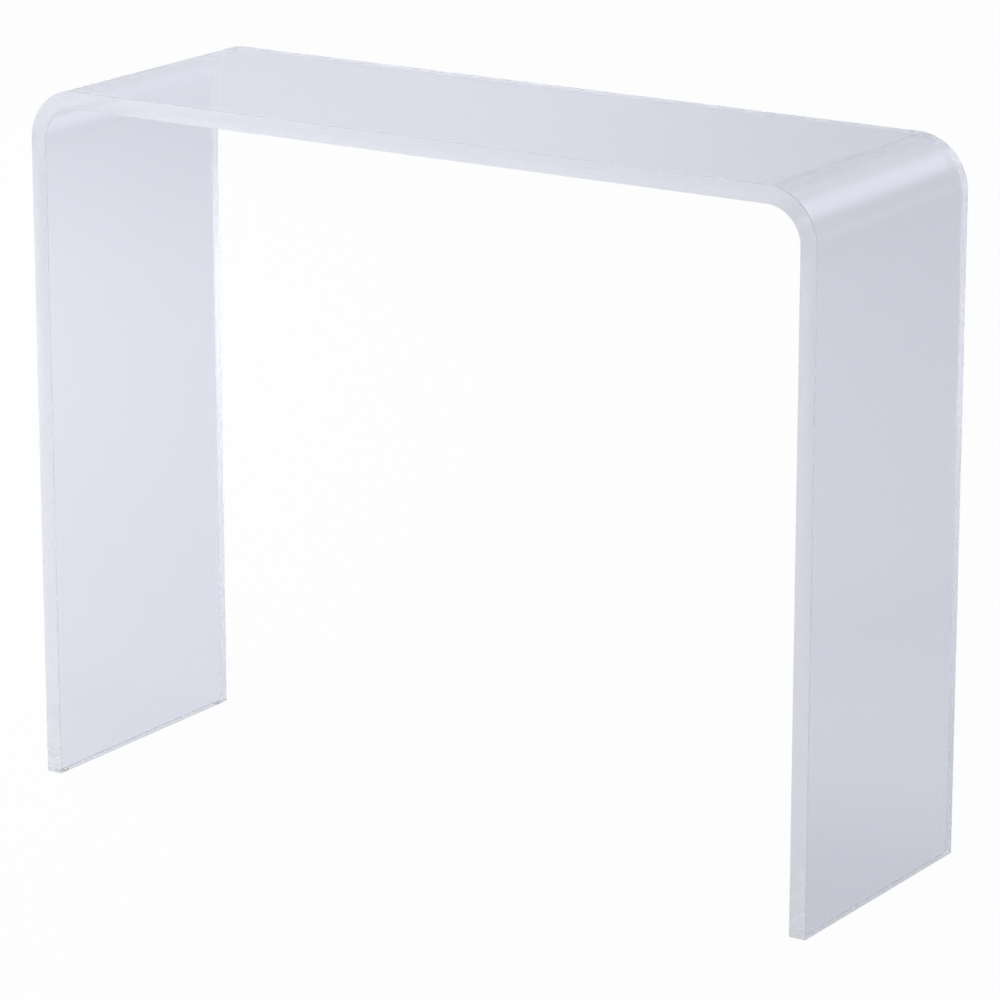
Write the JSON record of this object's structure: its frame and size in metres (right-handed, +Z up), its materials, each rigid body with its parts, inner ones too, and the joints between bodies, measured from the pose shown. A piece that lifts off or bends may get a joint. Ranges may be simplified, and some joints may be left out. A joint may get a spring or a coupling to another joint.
{
  "type": "console table",
  "caption": "Waterfall console table bent from a thick clear acrylic sheet, with rounded upper corners and open front and rear, standing on small clear pads.",
  "frame": {"origin": "on the floor, at the centre of the footprint, below the middle of the top", "axes": "+X along the table towards its right end seen from the front, +Y from the front to the rear, +Z up"},
  "size_m": [0.95, 0.305, 0.76],
  "materials": {
    "clear_acrylic": "clear cast acrylic, polished faces and polished, bevelled edges",
    "clear_pad": "clear soft polyurethane, satin"
  },
  "bodies": {
    "root": {"bent_sheet": "clear_acrylic", "foot_pad_front_left": "clear_pad", "foot_pad_front_right": "clear_pad", "foot_pad_rear_left": "clear_pad", "foot_pad_rear_right": "clear_pad"}
  },
  "joints": []
}
